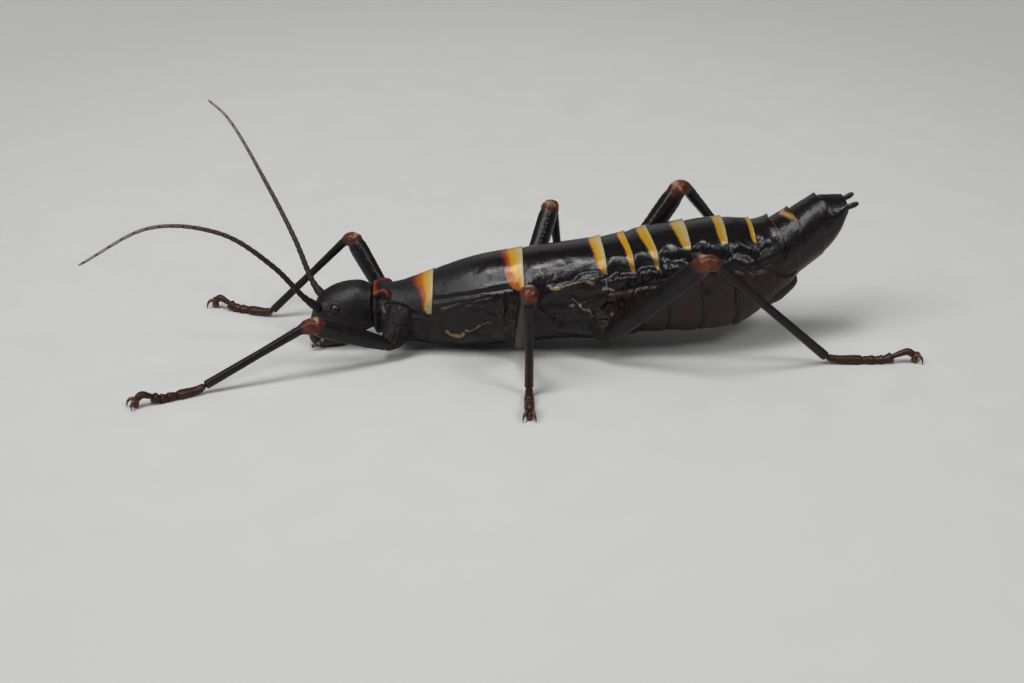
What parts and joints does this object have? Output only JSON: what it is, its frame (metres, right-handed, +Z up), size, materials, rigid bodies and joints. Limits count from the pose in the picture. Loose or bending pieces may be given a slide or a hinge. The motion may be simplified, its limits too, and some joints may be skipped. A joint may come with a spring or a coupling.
{
  "type": "stick insect model",
  "caption": "Still, life-size model of a stout wingless stick insect, glossy black with yellow bands, standing on its feet with raised tail and spread feelers.",
  "frame": {"origin": "middle of the bounding box's bottom, on the floor that the feet stand on", "axes": "+X from head to tail along the body, +Y to the insect's right side, +Z up"},
  "size_m": [0.0798, 0.0446, 0.0222],
  "materials": {
    "back_cuticle": "glossy black insect cuticle, crossed by yellow bands with an orange front and a cream rear edge",
    "belly_cuticle": "satin dark brown cuticle and membrane",
    "leg_cuticle": "satin black cuticle, brick red at the knees",
    "foot_cuticle": "dark brown foot joints with amber soles",
    "feeler_cuticle": "dull, ringed, dark at the root and brown towards the tip",
    "eye_lens": "polished black eye",
    "claw_horn": "glossy brown horn hooks and dull pad"
  },
  "bodies": {
    "root": {"abdomen_10": "back_cuticle", "abdomen_2": "back_cuticle", "abdomen_3": "back_cuticle", "abdomen_4": "back_cuticle", "abdomen_5": "back_cuticle", "abdomen_6": "back_cuticle", "abdomen_7": "back_cuticle", "abdomen_8": "back_cuticle", "abdomen_9": "back_cuticle", "antenna_left_flagellum_lower": "feeler_cuticle", "antenna_left_flagellum_upper": "feeler_cuticle", "antenna_left_scape": "feeler_cuticle", "antenna_right_flagellum_lower": "feeler_cuticle", "antenna_right_flagellum_upper": "feeler_cuticle", "antenna_right_scape": "feeler_cuticle", "cercus_left": "back_cuticle", "cercus_right": "back_cuticle", "eye_left": "eye_lens", "eye_right": "eye_lens", "head": "back_cuticle", "leg_left_front_claws": "claw_horn", "leg_left_front_coxa": "leg_cuticle", "leg_left_front_femur": "leg_cuticle", "leg_left_front_tarsus": "foot_cuticle", "leg_left_front_tibia": "leg_cuticle", "leg_left_hind_claws": "claw_horn", "leg_left_hind_coxa": "leg_cuticle", "leg_left_hind_femur": "leg_cuticle", "leg_left_hind_tarsus": "foot_cuticle", "leg_left_hind_tibia": "leg_cuticle", "leg_left_middle_claws": "claw_horn", "leg_left_middle_coxa": "leg_cuticle", "leg_left_middle_femur": "leg_cuticle", "leg_left_middle_tarsus": "foot_cuticle", "leg_left_middle_tibia": "leg_cuticle", "leg_right_front_claws": "claw_horn", "leg_right_front_coxa": "leg_cuticle", "leg_right_front_femur": "leg_cuticle", "leg_right_front_tarsus": "foot_cuticle", "leg_right_front_tibia": "leg_cuticle", "leg_right_hind_claws": "claw_horn", "leg_right_hind_coxa": "leg_cuticle", "leg_right_hind_femur": "leg_cuticle", "leg_right_hind_tarsus": "foot_cuticle", "leg_right_hind_tibia": "leg_cuticle", "leg_right_middle_claws": "claw_horn", "leg_right_middle_coxa": "leg_cuticle", "leg_right_middle_femur": "leg_cuticle", "leg_right_middle_tarsus": "foot_cuticle", "leg_right_middle_tibia": "leg_cuticle", "mesothorax": "back_cuticle", "metathorax": "back_cuticle", "mouthparts": "belly_cuticle", "operculum": "belly_cuticle", "prothorax": "back_cuticle"}
  },
  "joints": []
}
